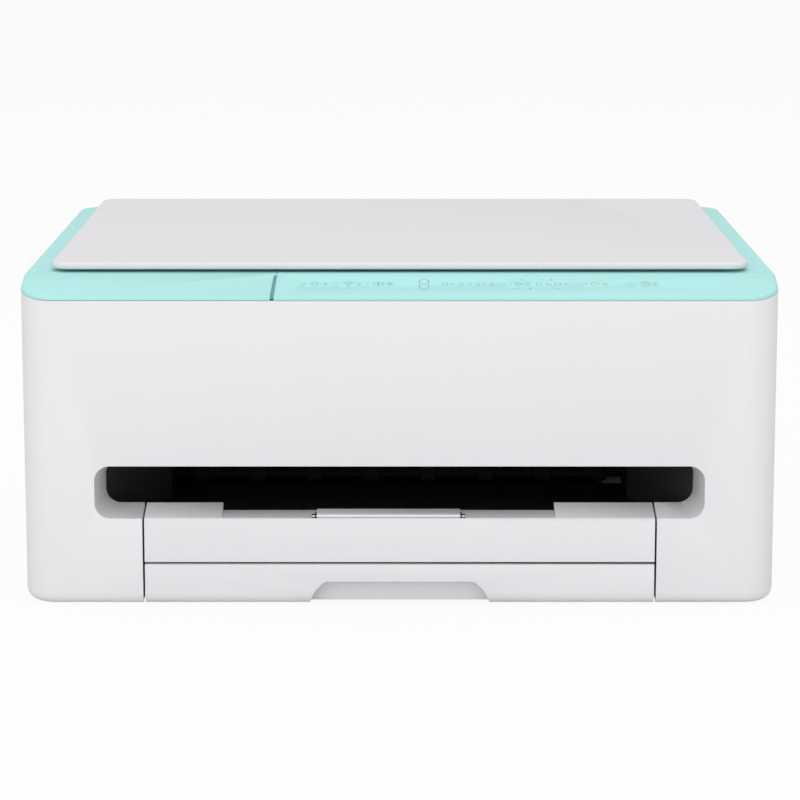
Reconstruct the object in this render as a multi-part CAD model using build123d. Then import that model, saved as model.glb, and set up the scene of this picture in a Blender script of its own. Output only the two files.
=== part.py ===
from build123d import *
import math
import os

# Multifunction printer: flatbed scanner over an ink-jet engine, with a paper
# cassette and an output tray in front. Millimetres, +Z up, the front is -Y,
# and the origin is the middle of the footprint on the table.

# Outer shape
width = 372.0
depth = 315.0
corner_radius = 16.0
foot_height = 2.0
skirt_z = 0.5
foot_radius = 8.0
foot_inset = 36.5
bottom_fillet = 6.0
wall = 2.5
plate = 2.0
seam_front_z = 152.5
seam_side_z = 158.8
rim_height = 3.2
seam_gap = 0.3
slide_gap = 0.3
running_fit = 0.05

# Scanner unit and document cover
panel_depth = 29.0
tub_clearance = 2.2
tub_depth = 22.0
platen_width = 310.0
platen_length = 226.0
platen_mid_x = -5.0
platen_mid_y = 8.0
platen_ledge = 2.5
glass_thickness = 2.8
cover_inset = 12.4
cover_front_setback = 31.0
cover_rear_setback = 2.5
cover_thickness = 3.4
cover_gap = 1.5
cover_radius = 9.0
pad_clearance = 0.3
lift_barrel_radius = 2.6
lift_pin_radius = 1.2
cover_pin_radius = 0.8
groove_front_x = -62.3
groove_rear_x = -61.2
groove_width = 1.9
skin = 2.2

# Output slot and trays
slot_half_width = 150.3
slot_bottom_z = 44.0
slot_top_z = 70.3
slot_radius = 7.5
funnel_depth = 20.0
funnel_step = 4.0
sill_rise = 4.0
bay_half_width = 127.0
bay_gap = 1.0
tray_seam_z = 20.8
front_gap = 1.3
notch_left = -88.0
notch_right = 77.0
support_left = -41.0
support_right = 30.0
support_thickness = 1.6
support_length = 15.0
support_setback = 1.2
support_ear = 1.6
support_pin = 0.5
handle_top_z = 12.0
handle_top_half = 37.0
handle_bottom_half = 44.4
handle_depth = 13.0
handle_flare = 2.6
handle_round = 4.6

# Values worked out from the outer shape
front_y = -depth / 2
back_y = depth / 2
half_width = width / 2
floor_z = foot_height
floor_top = floor_z + plate
rim_top = seam_side_z + rim_height
cover_bottom = rim_top + cover_gap
cover_top = cover_bottom + cover_thickness
lift_x = half_width - 48.0
lift_y = back_y - lift_barrel_radius - 0.3
lift_z = seam_side_z - 1.0
slope_rise = rim_top - (seam_front_z + 1.9)
slope_angle = math.degrees(math.atan2(slope_rise, panel_depth))


def box(x0, x1, y0, y1, z0, z1):
    """Block between six planes."""
    return Pos((x0 + x1) / 2, (y0 + y1) / 2, (z0 + z1) / 2) * Box(x1 - x0, y1 - y0, z1 - z0)


def rod_x(radius, x0, x1, y, z):
    """Round bar along X."""
    return Pos((x0 + x1) / 2, y, z) * Rot(0, 90, 0) * Cylinder(radius, x1 - x0)


def rod_y(radius, x, y0, y1, z):
    """Round bar along Y."""
    return Pos(x, (y0 + y1) / 2, z) * Rot(90, 0, 0) * Cylinder(radius, y1 - y0)


def rod_z(radius, x, y, z0, z1):
    """Upright round bar."""
    return Pos(x, y, (z0 + z1) / 2) * Cylinder(radius, z1 - z0)


def outline(inset, z0, z1):
    """Footprint with round corners, drawn in by inset, between two heights."""
    radius = max(corner_radius - inset, 1.0)
    plan = RectangleRounded(width - 2 * inset, depth - 2 * inset, radius)
    return Pos(0, 0, z0) * extrude(plan, z1 - z0)


def profile_x(points, x0, x1):
    """Closed outline of (y, z) points, pushed along X."""
    face = make_face(Polyline(*[(x0, y, z) for y, z in points], close=True))
    return extrude(face, x1 - x0, dir=(1, 0, 0))


def edges_at(solid, axis, low, high):
    """Edges whose middle lies between two places on an axis."""
    return solid.edges().filter_by_position(axis, low, high)


def write(name, shape):
    """One file per piece, under the piece's name."""
    export_step(shape, f"parts/{name}.step")


# The seam between the case and the scanner unit climbs from the front edge,
# parallel to the operation panel, and then runs level to the rear.
def above_seam(lift, x0=-half_width - 5, x1=half_width + 5):
    """Everything over the seam, raised by lift."""
    run = (seam_side_z - seam_front_z) / math.tan(math.radians(slope_angle))
    out = 20.0
    drop = out * math.tan(math.radians(slope_angle))
    points = [(front_y - out, seam_front_z - drop + lift), (front_y + run, seam_side_z + lift),
              (back_y + out, seam_side_z + lift), (back_y + out, cover_top + 60),
              (front_y - out, cover_top + 60)]
    return profile_x(points, x0, x1)


def below_panel(drop):
    """Everything under the panel slope and the rim, lowered by drop."""
    out = 20.0
    fall = out * math.tan(math.radians(slope_angle))
    points = [(front_y - out, rim_top - slope_rise - fall - drop), (front_y + panel_depth, rim_top - drop),
              (back_y + out, rim_top - drop), (back_y + out, -10), (front_y - out, -10)]
    return profile_x(points, -half_width - 5, half_width + 5)


# Case
lip_inset = 5.0
lip_top = 12.0
deck_z = 127.0
deck_margin = 28.0
deck_front = 39.5
deck_rear_y = 60.0
rear_cover_half = half_width - 66.0
rear_cover_bottom = 30.0
rear_cover_top = 104.0
rear_pin_radius = 1.2
rear_pin_y = depth / 2 - 2.8
rear_pin_z = rear_cover_bottom + 3.1
socket_x = 36.0 - half_width
usb_x = half_width - 36.0
socket_z = 45.0
inlet_half = 14.0
inlet_rise = 10.0
usb_half = 8.0
screw_x = half_width - corner_radius - 4
screw_places = [(side * screw_x, z) for side in (-1, 1) for z in (120, 14)]
screw_head = 3.0
screw_shank = 1.4
screw_length = 11.0
screw_sink = 1.8


def slot_block(half, bottom, top, y0, y1, radius):
    """Rounded letterbox through the front wall."""
    plan = Rot(90, 0, 0) * RectangleRounded(2 * half, top - bottom, radius)
    return extrude(Pos(0, y1, (bottom + top) / 2) * plan, y1 - y0, dir=(0, -1, 0))


def funnel_cut():
    """Mouth of the output slot, which narrows inwards and steps up at its floor."""
    mouth = slot_block(slot_half_width, slot_bottom_z, slot_top_z, front_y - 1, front_y + 0.5, slot_radius)
    middle = (slot_bottom_z + slot_top_z) / 2
    rise = (slot_bottom_z + sill_rise + slot_top_z) / 2
    first = Plane(origin=(0, front_y + 0.5, middle), x_dir=(1, 0, 0), z_dir=(0, 1, 0))
    second = Plane(origin=(0, front_y + funnel_depth, rise), x_dir=(1, 0, 0), z_dir=(0, 1, 0))
    high = slot_top_z - slot_bottom_z
    outer = first * RectangleRounded(2 * slot_half_width, high, slot_radius)
    inner_half = slot_half_width - funnel_step
    inner = second * RectangleRounded(2 * inner_half, high - sill_rise, slot_radius)
    throat = slot_block(inner_half, slot_bottom_z + sill_rise, slot_top_z,
                        front_y + funnel_depth - 0.01, front_y + funnel_depth + 6, slot_radius)
    return mouth + loft([outer, inner]) + throat


def funnel_collar():
    """Material round the funnel, behind the front wall."""
    return box(-slot_half_width - wall, slot_half_width + wall, front_y + 1, front_y + funnel_depth,
               slot_bottom_z - wall, slot_top_z + wall)


def main_case():
    shell = outline(0, skirt_z, seam_side_z + 2)
    low_edges = shell.edges().group_by(Axis.Z)[0]
    shell = fillet(low_edges, bottom_fillet)
    shell -= outline(wall, lip_top, seam_side_z + 3)
    shell -= outline(lip_inset, skirt_z - 1, lip_top + 1)
    shell -= above_seam(-seam_gap / 2)
    collar = funnel_collar()
    deck_hole = box(deck_margin - half_width, half_width - deck_margin, front_y + deck_front, deck_rear_y,
                    deck_z - 1, deck_z + plate + 1)
    deck = outline(wall - 0.5, deck_z, deck_z + plate) - deck_hole
    shell = shell + collar + deck - funnel_cut()
    bay_top = slot_bottom_z + sill_rise + 0.2
    bay = box(-bay_half_width, bay_half_width, front_y - 1, front_y + 30, skirt_z - 1, bay_top)
    shell -= bay
    rear = box(-rear_cover_half, rear_cover_half, back_y - 10, back_y + 1, rear_cover_bottom, rear_cover_top)
    shell -= rear
    for x, half, rise in ((socket_x, inlet_half, inlet_rise), (usb_x, usb_half, usb_half)):
        gap = 0.2
        shell -= box(x - half - gap, x + half + gap, back_y - 10, back_y + 1,
                     socket_z - rise - gap, socket_z + rise + gap)
    # chamfer behind the hinge line, where the scanner unit swings down
    shell -= profile_x([(lift_y - 0.3, seam_side_z - seam_gap / 2), (back_y + 0.1, seam_side_z - 2.4),
                        (back_y + 0.1, seam_side_z + 1), (lift_y - 0.3, seam_side_z + 1)],
                       -half_width, half_width)
    for side in (-1, 1):
        # fixed knuckles of the scanner hinge, and room for the moving ones
        low, high = sorted((side * (lift_x - 10), side * lift_x))
        shell += rod_x(lift_barrel_radius, low, high, lift_y, lift_z)
        low, high = sorted((side * lift_x, side * (lift_x + 11)))
        shell -= rod_x(lift_barrel_radius + 0.5, low, high, lift_y, lift_z)
        low, high = sorted((side * (lift_x - 18), side * (lift_x + 2)))
        shell -= rod_x(lift_pin_radius + running_fit, low, high, lift_y, lift_z)
        # ears for the rear cover's pins
        low, high = sorted((side * (rear_cover_half + 0.3), side * (rear_cover_half + 5.3)))
        ear = box(low, high, back_y - 9, back_y - 0.1, rear_cover_bottom - 2, rear_cover_bottom + 10)
        shell += ear
        low, high = sorted((side * (rear_cover_half - 1), side * (rear_cover_half + 4)))
        shell -= rod_x(rear_pin_radius + running_fit, low, high, rear_pin_y, rear_pin_z)
    for x, z in screw_places:
        shell += rod_y(screw_head + 1, x, back_y - screw_length - 1, back_y - 1, z)
        shell -= rod_y(screw_head + 0.2, x, back_y - screw_sink, back_y + 1, z)
        shell -= rod_y(screw_shank + running_fit, x, back_y - screw_length - 2, back_y, z)
    return shell


bay_wall = 2.0
board_x = 13.0 - half_width
board_half_length = 90.0
board_foot = 8.0
board_thickness = 1.6
supply_left = 16.0 - half_width
supply_width = 40.0
supply_length = 51.0
supply_height = 48.0
supply_z = 60.0
rear_room = 5.5
frame_back_y = back_y - rear_room - supply_length - 1.0


def bottom_case():
    base = outline(lip_inset + 0.2, floor_z, floor_top)
    base -= box(-bay_half_width, bay_half_width, front_y, front_y + 14, floor_z - 1, floor_top + 1)
    for side in (-1, 1):
        low, high = sorted((side * (bay_half_width - bay_wall), side * bay_half_width))
        base += box(low, high, front_y + 14, back_y - 22, floor_top - 0.1, tray_seam_z - 1.0)
    base += box(-bay_half_width, bay_half_width, back_y - 24, back_y - 22, floor_top - 0.1, tray_seam_z - 1.0)
    base += box(board_x - plate, board_x, -60, 60, floor_top - 0.1, floor_top + 2 * board_foot)
    for x in (supply_left, supply_left + supply_width - plate):
        base += box(x, x + plate, frame_back_y, frame_back_y + 30, floor_top - 0.1, supply_z)
    return base


def rubber_feet():
    places = [(side * (half_width - foot_inset), end * (back_y - foot_inset))
              for side in (-1, 1) for end in (-1, 1)]
    return Compound(children=[rod_z(foot_radius, x, y, 0, floor_z) for x, y in places])


# Output tray: a black shelf with a white front, and a small paper stop
tray_floor_z = 38.0
tray_rear_y = -54.0
support_y = front_y + support_setback + support_thickness / 2
support_z = slot_bottom_z + 0.15 + support_thickness / 2


def output_tray():
    half = bay_half_width - bay_gap
    shelf = box(-half, half, front_y + funnel_depth, tray_rear_y, tray_floor_z, tray_floor_z + plate)
    lip_y = front_y + funnel_depth
    shelf += box(-half, half, lip_y, lip_y + 2, tray_seam_z + 1.5, tray_floor_z + 1)
    for side in (-1, 1):
        low, high = sorted((side * (half - 2), side * half))
        shelf += box(low, high, front_y + funnel_depth, tray_rear_y, tray_seam_z + 1.5, tray_floor_z + plate)
    for x in range(-100, 101, 25):
        shelf += box(x - 0.7, x + 0.7, lip_y + 3, tray_rear_y, tray_floor_z + 1, tray_floor_z + 3)
    return shelf


def output_tray_front():
    half = bay_half_width - bay_gap
    face_bottom = tray_seam_z + front_gap
    top = slot_bottom_z
    y_end = front_y + funnel_depth
    block = profile_x([(front_y, face_bottom), (y_end, face_bottom), (y_end, top + sill_rise - 0.1),
                       (front_y + 1.0, top), (front_y, top - 1.0)], -half, half)
    block -= box(-half + 2, half - 2, front_y + wall, y_end - 2, face_bottom - 1, top - 5.5)
    block -= box(notch_left, notch_right, front_y + 1, y_end + 1, top, top + sill_rise + 1)
    for side, edge in ((-1, support_left), (1, support_right)):
        low, high = sorted((edge + side * 0.7, edge + side * (0.7 + support_ear)))
        ear_y = front_y + support_setback
        block += box(low, high, ear_y + 0.4, ear_y + 2.6, top - 0.5, support_z + 0.7)
        low, high = sorted((edge, edge + side * 0.7))
        block -= box(low, high, front_y + 1, ear_y + 5, top - 2.5, top + 1)
    pin = support_pin + running_fit
    return block - rod_x(pin, support_left - 2.5, support_right + 2.5, support_y, support_z)


def output_support():
    """Small flap on the tray's edge that turns up and over as a paper stop."""
    low, high = support_z - support_thickness / 2, support_z + support_thickness / 2
    flap = box(support_left, support_right, support_y, front_y + support_length, low, high)
    flap += rod_x(support_thickness / 2, support_left, support_right, support_y, support_z)
    return flap + rod_x(support_pin, support_left - 2.2, support_right + 2.2, support_y, support_z)


# Paper cassette: the paper tray with its guides, and a front part that draws out
cassette_half = bay_half_width - bay_wall - 0.6
cassette_top = 19.5
front_floor_z = floor_top + 0.4
sheet = 1.5
tray_front_y = front_y + 62.5
tray_back_y = back_y - 28.0
front_back_y = tray_front_y + 80.0
guide_reach = 105.5
rack_offset = 4.6
pinion_y = 30.0
pinion_teeth = 10


def cassette_front():
    face_half = bay_half_width - bay_gap
    face = box(-face_half, face_half, front_y, front_y + handle_depth, skirt_z, tray_seam_z)
    lower = face.edges().filter_by(Axis.X).sort_by(Axis.Y)[0:2].sort_by(Axis.Z)[0]
    face = fillet(lower, bottom_fillet)
    shoulder = handle_bottom_half - handle_flare
    corners = [(-handle_bottom_half, skirt_z - 5), (-handle_bottom_half, skirt_z + 1),
               (-shoulder, handle_top_z - handle_round), (-handle_top_half, handle_top_z)]
    grip = make_face(Polyline(*corners, *[(-x, z) for x, z in reversed(corners)], close=True))
    grip = fillet([v for v in grip.vertices() if v.Y > skirt_z + 1.5], handle_round - 1.0)
    grip = Pos(0, front_y - 1, 0) * Rot(90, 0, 0) * grip
    face -= extrude(grip, handle_depth - 2.0, dir=(0, 1, 0))
    back = front_y + handle_depth
    floor_plate = box(-cassette_half, cassette_half, back - 1, front_back_y,
                      front_floor_z, front_floor_z + sheet)
    piece = face + floor_plate
    for side in (-1, 1):
        low, high = sorted((side * (cassette_half - 1.5), side * cassette_half))
        piece += box(low, high, back - 1, front_back_y, front_floor_z, cassette_top)
    return piece


def cassette_tray():
    half = cassette_half - 1.5 - slide_gap
    low_z = front_floor_z + sheet + slide_gap
    tray = box(-half, half, tray_front_y, tray_back_y, low_z, low_z + sheet)
    for side in (-1, 1):
        low, high = sorted((side * (half - 1.8), side * half))
        tray += box(low, high, tray_front_y, tray_back_y, low_z, cassette_top)
    tray += profile_x([(tray_back_y - 2, low_z), (tray_back_y, low_z), (tray_back_y, cassette_top - 3),
                       (tray_back_y - 2, cassette_top - 6)], -half, half)
    tray -= box(-15, 15, tray_front_y - 1, tray_front_y + 60, low_z - 1, low_z + sheet + 1)
    return tray


rack_z = front_floor_z + 2 * sheet + 2 * slide_gap
rack_height = 2.0


def width_guide(side):
    """Paper guide with its rack; the two racks run on either side of one pinion."""
    y_rack = pinion_y - side * rack_offset
    inner, outer = side * guide_reach, side * (guide_reach + 2.5)
    low, high = sorted((inner, outer))
    z1 = rack_z + rack_height + 0.4
    guide = box(low, high, pinion_y - 45, pinion_y + 45, z1, cassette_top - 0.8)
    guide += box(low, high, y_rack - 3, y_rack + 3, rack_z, z1 + 0.1)
    low, high = sorted((outer, -side * 6.0))
    y0, y1 = sorted((y_rack - side * 0.6, y_rack - side * 3.0))
    guide += box(low, high, y0, y1, rack_z, rack_z + rack_height)
    return guide


def guide_pinion():
    root = rack_offset + 0.4
    gear = rod_z(rack_offset + 1.0 - slide_gap - 0.4, 0, pinion_y, rack_z, rack_z + rack_height)
    for step in range(pinion_teeth):
        angle = 360 * step / pinion_teeth + 18
        notch = box(root - 1.6, root + 3, -0.6, 0.6, rack_z - 1, rack_z + 4)
        gear -= Pos(0, pinion_y, 0) * Rot(0, 0, angle) * notch
    return gear


def length_guide():
    z0 = front_floor_z + sheet + slide_gap
    y0 = front_y + handle_depth + 2.5
    guide = box(-13, 13, y0, y0 + 2.5, z0, cassette_top - 1.5)
    return guide + box(-13, 13, y0 + 2, y0 + 16, z0, z0 + 1.2)


# Engine: side plates, rollers and their gears
left_plate_x = 36.0 - half_width
right_plate_x = half_width - 16.0
frame_front_y = -60.0
plate_top = 96.0
tie_z = 22.0
gear_x = right_plate_x + plate + 0.4
gear_width = 4.0
gear_module = 1.0
feed_teeth = 24
idler_teeth = 40
exit_teeth = 19
pinion_gear_teeth = 12
feed_y, feed_z, feed_radius, feed_shaft = 14.0, 47.0, 5.0, 3.0
exit_y, exit_z, exit_radius, exit_shaft = -46.0, 44.0, 4.0, 2.0
pinch_radius, pinch_shaft, nip_gap = 2.5, 1.5, 0.1
motor_angle = -25.0
pickup_pivot_y, pickup_pivot_z = frame_back_y - 45.0, 36.0
pickup_y, pickup_z, pickup_radius = frame_back_y - 14.0, 31.0, 8.0
rail_y, rail_z, rail_depth = 40.0, 96.0, 28.0
pulley_y, pulley_radius = 54.0, 6.0
pulley_left, pulley_right = left_plate_x + 14.0, right_plate_x - 12.0
belt_z, belt_height, belt_thick = rail_z + 4.0, 5.0, 1.2
carriage_x, carriage_half = right_plate_x - 32.0, 31.0
platen_right = carriage_x - 30.0
carriage_front, carriage_back = -28.0, rail_y - 0.5
carriage_bottom, carriage_top = 60.0, 98.0
head_z = 49.5
cartridge_width, cartridge_gap = 25.0, 0.4
lever_axis_y, lever_axis_z, lever_length = 33.0, 103.0, 28.0


def gear(teeth, phase, y, z, bore):
    """Spur gear on an axis along X; phase is the angle of one tooth, from +Y towards +Z."""
    pitch = gear_module * teeth / 2
    tip = pitch + 0.9 * gear_module
    root = pitch - 1.2 * gear_module
    half_tip = 0.30 * gear_module
    half_root = 1.05 * gear_module
    points = []
    for step in range(teeth):
        mid = phase + 2 * math.pi * step / teeth
        for radius, half in ((root, -half_root), (tip, -half_tip), (tip, half_tip), (root, half_root)):
            angle = mid + half / radius
            points.append((gear_x, y + radius * math.cos(angle), z + radius * math.sin(angle)))
    body = extrude(make_face(Polyline(*points, close=True)), gear_width, dir=(1, 0, 0))
    return body - rod_x(bore, gear_x - 1, gear_x + gear_width + 2, y, z)


def mesh_phase(angle, phase, teeth, next_teeth):
    """Phase that puts a gap of the next gear on the tooth of this one, across the line of centres."""
    return angle + math.pi - math.pi / next_teeth + (angle - phase) * teeth / next_teeth


# Centres and phases of the gear train, from the feed gear outwards
span_y, span_z = exit_y - feed_y, exit_z - feed_z
span = math.hypot(span_y, span_z)
reach_feed = gear_module * (feed_teeth + idler_teeth) / 2
reach_exit = gear_module * (exit_teeth + idler_teeth) / 2
along = (span**2 + reach_feed**2 - reach_exit**2) / (2 * span)
bend = math.acos(along / reach_feed)
idler_angle = math.atan2(span_z, span_y) - bend
idler_y = feed_y + reach_feed * math.cos(idler_angle)
idler_z = feed_z + reach_feed * math.sin(idler_angle)
exit_angle = math.atan2(exit_z - idler_z, exit_y - idler_y)
pinion_angle = math.radians(motor_angle)
reach_motor = gear_module * (feed_teeth + pinion_gear_teeth) / 2
motor_y = feed_y + reach_motor * math.cos(pinion_angle)
motor_z = feed_z + reach_motor * math.sin(pinion_angle)
feed_phase = 0.0
idler_phase = mesh_phase(idler_angle, feed_phase, feed_teeth, idler_teeth)
exit_phase = mesh_phase(exit_angle, idler_phase, idler_teeth, exit_teeth)
pinion_phase = mesh_phase(pinion_angle, feed_phase, feed_teeth, pinion_gear_teeth)
pinch_z = feed_z + feed_radius + pinch_radius + nip_gap


def engine_frame():
    frame = box(left_plate_x, right_plate_x, 5, frame_back_y, tie_z, tie_z + plate)
    frame += box(left_plate_x, right_plate_x, frame_back_y - plate, frame_back_y, tie_z + 1, plate_top)
    frame += box(left_plate_x, right_plate_x, 22, 28, 53.5, 58)
    for x in (left_plate_x, right_plate_x):
        x0, x1 = (x - plate, x) if x < 0 else (x, x + plate)
        frame += box(x0, x1, frame_front_y, frame_back_y, floor_top, plate_top)
    for x in (-124, 121):
        arm = box(x, x + 3, feed_y - 4, 23, pinch_z - 3, pinch_z + 2.4)
        frame = frame + arm - rod_x(pinch_shaft + running_fit, x - 1, x + 4, feed_y, pinch_z)
    frame -= box(-30, 30, pickup_y - 11, pickup_y + 11, tie_z - 1, tie_z + plate + 1)
    for x in (-65, 62):
        ear = box(x, x + 3, pickup_pivot_y - 5, pickup_pivot_y + 5, tie_z + 1, pickup_pivot_z + 5)
        frame = frame + ear - rod_x(2.0 + running_fit, x - 1, x + 4, pickup_pivot_y, pickup_pivot_z)
    for y, z, r in ((feed_y, feed_z, feed_shaft), (exit_y, exit_z, exit_shaft)):
        frame -= rod_x(r + running_fit, left_plate_x - 5, right_plate_x + 5, y, z)
    frame -= rod_x(1.5 + running_fit, right_plate_x - 5, right_plate_x + 5, motor_y, motor_z)
    frame += rod_x(3.0, right_plate_x, gear_x + gear_width + 0.5, idler_y, idler_z)
    return frame


def carriage_rail():
    left, right = left_plate_x, right_plate_x
    rail = box(left - plate, right + plate, rail_y, rail_y + rail_depth, rail_z, rail_z + plate)
    rail += box(left, right, rail_y, rail_y + plate, rail_z - 20, rail_z + plate)
    rail += rod_z(2.0, pulley_right, pulley_y, rail_z + 1, belt_z + belt_height + 1)
    rail -= rod_z(2.5, pulley_left, pulley_y, rail_z - 1, rail_z + plate + 1)
    for x in (left, right - 3):
        rail += box(x, x + 3, rail_y, rail_y + 3, rail_z + 1, rail_z + 20)
    return rail


def platen():
    deck = box(left_plate_x, platen_right, exit_y + 8, feed_y - 8, 42, 45)
    ribs = int((platen_right - left_plate_x - 25) // 14) + 1
    for x in [left_plate_x + 20 + 14 * step for step in range(ribs)]:
        deck += box(x, x + 1.6, exit_y + 8, feed_y - 8, 44.5, 47)
    return deck


def purge_unit():
    unit = box(platen_right, right_plate_x, exit_y + 8, feed_y - 8, 24, 44)
    for x in (carriage_x - 15, carriage_x + 15):
        unit += box(x - 11, x + 11, exit_y + 14, feed_y - 14, 43, head_z - 0.6)
        unit -= box(x - 9, x + 9, exit_y + 16, feed_y - 16, 46, 60)
    return unit


def feed_roller():
    roller = rod_x(feed_shaft, left_plate_x - plate - 1, gear_x + gear_width + 1.5, feed_y, feed_z)
    return roller + rod_x(feed_radius, -118, 118, feed_y, feed_z)


def exit_roller():
    roller = rod_x(exit_shaft, left_plate_x - plate - 1, gear_x + gear_width + 1.5, exit_y, exit_z)
    for x in range(-105, 106, 30):
        roller += rod_x(exit_radius, x - 4, x + 4, exit_y, exit_z)
    return roller


def pinch_rollers():
    shaft = rod_x(pinch_shaft, -124, 124, feed_y, pinch_z)
    for x in range(-100, 101, 40):
        shaft += rod_x(pinch_radius, x - 12, x + 12, feed_y, pinch_z)
    return shaft


def feed_motor():
    motor = rod_x(10.5, right_plate_x - 26, right_plate_x, motor_y, motor_z)
    return motor - rod_x(1.5 + running_fit, right_plate_x - 8, right_plate_x + 1, motor_y, motor_z)


def feed_pinion():
    shaft = rod_x(1.5, right_plate_x - 7, gear_x + gear_width, motor_y, motor_z)
    return gear(pinion_gear_teeth, pinion_phase, motor_y, motor_z, 1.0) + shaft


def carriage_motor():
    motor = rod_z(11.0, pulley_left, pulley_y + 0.5, rail_z - 24, rail_z)
    return motor - rod_z(1.5 + running_fit, pulley_left, pulley_y, rail_z - 8, rail_z + 1)


def pulley(x):
    wheel = rod_z(pulley_radius, x, pulley_y, belt_z - 0.5, belt_z + belt_height + 0.5)
    if x < 0:
        return wheel + rod_z(1.5, x, pulley_y, rail_z - 7, belt_z)
    return wheel - rod_z(2.0 + running_fit, x, pulley_y, belt_z - 1, belt_z + belt_height + 2)


def belt():
    inner = pulley_radius + running_fit
    gap = pulley_right - pulley_left
    middle = (pulley_left + pulley_right) / 2
    outer = SlotCenterToCenter(gap, 2 * (inner + belt_thick)) - SlotCenterToCenter(gap, 2 * inner)
    return Pos(middle, pulley_y, belt_z) * extrude(outer, belt_height)


def encoder_strip():
    return box(left_plate_x + 3, right_plate_x - 3, rail_y + 1, rail_y + 1.6, rail_z + 12, rail_z + 19)


def cartridge_box(index, grow, z0, z1):
    x = carriage_x + (index - 0.5) * (cartridge_width + 3)
    half = cartridge_width / 2 + grow
    return box(x - half, x + half, carriage_front + 3 - grow, carriage_back - 7 + grow, z0, z1)


def carriage_body():
    body = box(carriage_x - carriage_half, carriage_x + carriage_half, carriage_front, carriage_back,
               carriage_bottom, carriage_top)
    for index in (0, 1):
        body -= cartridge_box(index, cartridge_gap, carriage_bottom + 2, carriage_top + 5)
        x = carriage_x + (index - 0.5) * (cartridge_width + 3)
        cup_y = carriage_front + 4
        body += box(x - 10, x + 10, cup_y, cup_y + 20, head_z + 1.5, carriage_bottom + 0.1)
        body -= box(x - 8, x + 8, cup_y + 2, cup_y + 18, head_z, carriage_bottom + 3)
        for ear in (x - 11.5, x + 9.5):
            body += box(ear, ear + 2, lever_axis_y - 0.3, lever_axis_y + 5, carriage_top - 0.1,
                        lever_axis_z + 2.5)
        body -= rod_x(1.0 + running_fit, x - 12, x + 12, lever_axis_y + 2.3, lever_axis_z)
    front_leg = pulley_y - pulley_radius - running_fit - belt_thick
    left, right = carriage_x - 2.2, carriage_x + 2.2
    body += box(left, right, carriage_back - 4, front_leg - slide_gap, belt_z - 0.5, belt_z + 5)
    body += box(left, right, carriage_back - 4, carriage_back, carriage_top - 1, belt_z)
    return body


def cartridge(index):
    ink = cartridge_box(index, 0, carriage_bottom + 2.3, carriage_top + 1.5)
    x = carriage_x + (index - 0.5) * (cartridge_width + 3)
    return ink + box(x - 7, x + 7, carriage_front + 7, carriage_front + 21, head_z, carriage_bottom + 3)


def lock_lever(index):
    x = carriage_x + (index - 0.5) * (cartridge_width + 3)
    y, z = lever_axis_y + 2.3, lever_axis_z
    lever = box(x - 9, x + 9, lever_axis_y - lever_length, y, z - 1, z + 1) + rod_x(1.6, x - 9, x + 9, y, z)
    return lever + rod_x(1.0, x - 11.4, x + 11.4, y, z)


def pickup_arm():
    shaft = rod_x(2.0, -65, 65, pickup_pivot_y, pickup_pivot_z)
    for x in (-14, 12):
        shaft += profile_x([(pickup_pivot_y - 3, pickup_pivot_z - 3), (pickup_y + 3, pickup_z - 4),
                            (pickup_y + 3, pickup_z + 4), (pickup_pivot_y - 3, pickup_pivot_z + 4)], x, x + 2)
    return shaft - rod_x(2.0 + running_fit, -15, 15, pickup_y, pickup_z)


def pickup_roller():
    return rod_x(pickup_radius, -11, 11, pickup_y, pickup_z) + rod_x(2.0, -14, 14, pickup_y, pickup_z)


def output_guide():
    """Dark shroud behind the slot: cheeks at both ends under one ceiling."""
    y0 = front_y + funnel_depth
    top = slot_top_z + 3
    outer_half, lip_half = slot_half_width - 2.0, slot_half_width - funnel_step
    shroud = box(-outer_half, outer_half, y0, -60, slot_top_z + 0.5, top)
    for side in (-1, 1):
        outer, lip, inner = side * outer_half, side * lip_half, side * 116
        corners = [(outer, y0), (lip, y0), (inner, y0 + 34), (inner, -60), (outer, -60)]
        face = make_face(Polyline(*corners, close=True))
        shroud += extrude(Pos(0, 0, tray_floor_z + 4.2) * face, top - tray_floor_z - 4.2, dir=(0, 0, 1))
    return shroud


def rear_cover():
    half = rear_cover_half - slide_gap
    low = rear_cover_bottom + 0.3
    cover = box(-half, half, back_y - wall, back_y, low, rear_cover_top - 0.4)
    corner = edges_at(cover, Axis.Z, low - 0.01, low + 0.01).filter_by(Axis.X).sort_by(Axis.Y)[-1]
    cover = fillet(corner, 2.2)
    for x in range(-100, 101, 25):
        rib = [(back_y - wall, low + 8), (back_y - 14, low + 30), (back_y - 14, rear_cover_top - 20),
               (back_y - wall, rear_cover_top - 6)]
        cover += profile_x(rib, x - 1, x + 1)
    return cover + rod_x(rear_pin_radius, -half - 3.7, half + 3.7, rear_pin_y, rear_pin_z)


def main_board():
    face_x = board_x + board_thickness
    board = box(board_x, face_x, -board_half_length, board_half_length, floor_top + board_foot, plate_top)
    for y, z, s in ((-50, 70, 12), (0, 60, 9), (30, 40, 7), (-20, 35, 6), (60, 75, 8)):
        board += box(face_x - 0.1, face_x + 2.4, y - s, y + s, z - s, z + s)
    return board


def power_supply():
    return box(supply_left, supply_left + supply_width, frame_back_y + 1, frame_back_y + 1 + supply_length,
               supply_z, supply_z + supply_height)


def ac_inlet():
    body = box(socket_x - inlet_half, socket_x + inlet_half, back_y - 20, back_y,
               socket_z - inlet_rise, socket_z + inlet_rise)
    body -= box(socket_x - inlet_half + 3, socket_x + inlet_half - 3, back_y - 16, back_y + 1,
                socket_z - inlet_rise + 3, socket_z + inlet_rise - 3)
    for x in (-4, 4):
        body += rod_y(1.2, socket_x + x, back_y - 17, back_y - 4, socket_z)
    return body


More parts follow.
